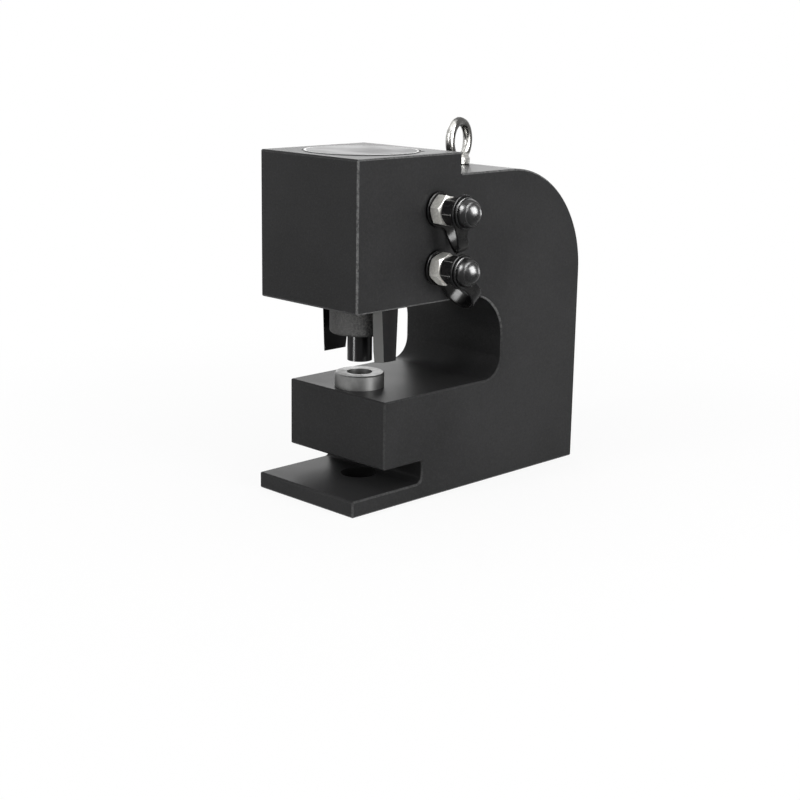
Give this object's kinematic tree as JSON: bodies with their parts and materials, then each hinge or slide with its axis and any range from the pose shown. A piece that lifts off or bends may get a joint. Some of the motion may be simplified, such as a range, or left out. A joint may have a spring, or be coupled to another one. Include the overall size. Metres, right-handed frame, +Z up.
{
  "type": "busbar punching machine",
  "caption": "C-frame hydraulic busbar punch: square cylinder head, deep throat, punch with stripper legs over a die, slug slot and foot, side couplers with dust caps, lifting eye.",
  "frame": {"origin": "on the punch axis at the base plane, at the bottom of the slug hole in the foot", "axes": "+Z up along the punch axis, +Y to the rear of the frame, +X to the wall with the couplers"},
  "size_m": [0.1383, 0.24, 0.2675],
  "materials": {
    "black_paint": "satin",
    "black_oxide": "satin",
    "phosphate": "matte",
    "steel": "satin",
    "hard_chrome": "polished",
    "zinc": "satin",
    "forged_zinc": "satin",
    "bronze": "satin",
    "rubber": "satin",
    "polyurethane": "satin",
    "wear_tape": "matte",
    "black_plastic": "gloss"
  },
  "bodies": {
    "frame": {"frame": "black_paint", "cylinder_cap": "black_paint", "cap_o_ring": "rubber", "cap_lock_screw": "black_oxide", "stripper": "black_oxide", "stripper_o_ring": "rubber", "rod_bush": "bronze", "rod_seal": "polyurethane", "rod_wiper": "rubber", "die": "steel", "die_set_screw": "black_oxide", "eyebolt": "forged_zinc", "upper_adapter": "zinc", "upper_port_seal": "rubber", "upper_nipple": "black_oxide", "upper_spring_stop": "steel", "upper_valve_spring": "steel", "upper_dust_strap": "rubber", "lower_adapter": "zinc", "lower_port_seal": "rubber", "lower_nipple": "black_oxide", "lower_spring_stop": "steel", "lower_valve_spring": "steel", "lower_dust_strap": "rubber"},
    "ram": {"piston": "steel", "piston_seal": "polyurethane", "piston_wear_ring": "wear_tape", "piston_rod": "hard_chrome", "piston_nut": "steel", "punch": "black_oxide", "punch_nut": "phosphate"},
    "upper_cap": {"upper_dust_cap": "black_plastic"},
    "lower_cap": {"lower_dust_cap": "black_plastic"},
    "upper_valve": {"upper_poppet": "steel"},
    "lower_valve": {"lower_poppet": "steel"}
  },
  "joints": [
    {"name": "ram_stroke", "type": "slide", "parent": "frame", "child": "ram", "axis": [0, 0, -1], "range_m": [-0.0065, 0.013]},
    {"name": "upper_cap_pull", "type": "slide", "parent": "frame", "child": "upper_cap", "axis": [1, 0, 0], "range_m": [0, 0.018], "deforming": ["upper_dust_strap"]},
    {"name": "lower_cap_pull", "type": "slide", "parent": "frame", "child": "lower_cap", "axis": [1, 0, 0], "range_m": [0, 0.018], "deforming": ["lower_dust_strap"]},
    {"name": "upper_valve_push", "type": "slide", "parent": "frame", "child": "upper_valve", "axis": [-1, 0, 0], "range_m": [0, 0.004], "stiffness_N_per_m": 800, "springref_m": -0.004, "deforming": ["upper_valve_spring"]},
    {"name": "lower_valve_push", "type": "slide", "parent": "frame", "child": "lower_valve", "axis": [-1, 0, 0], "range_m": [0, 0.004], "stiffness_N_per_m": 800, "springref_m": -0.004, "deforming": ["lower_valve_spring"]}
  ]
}
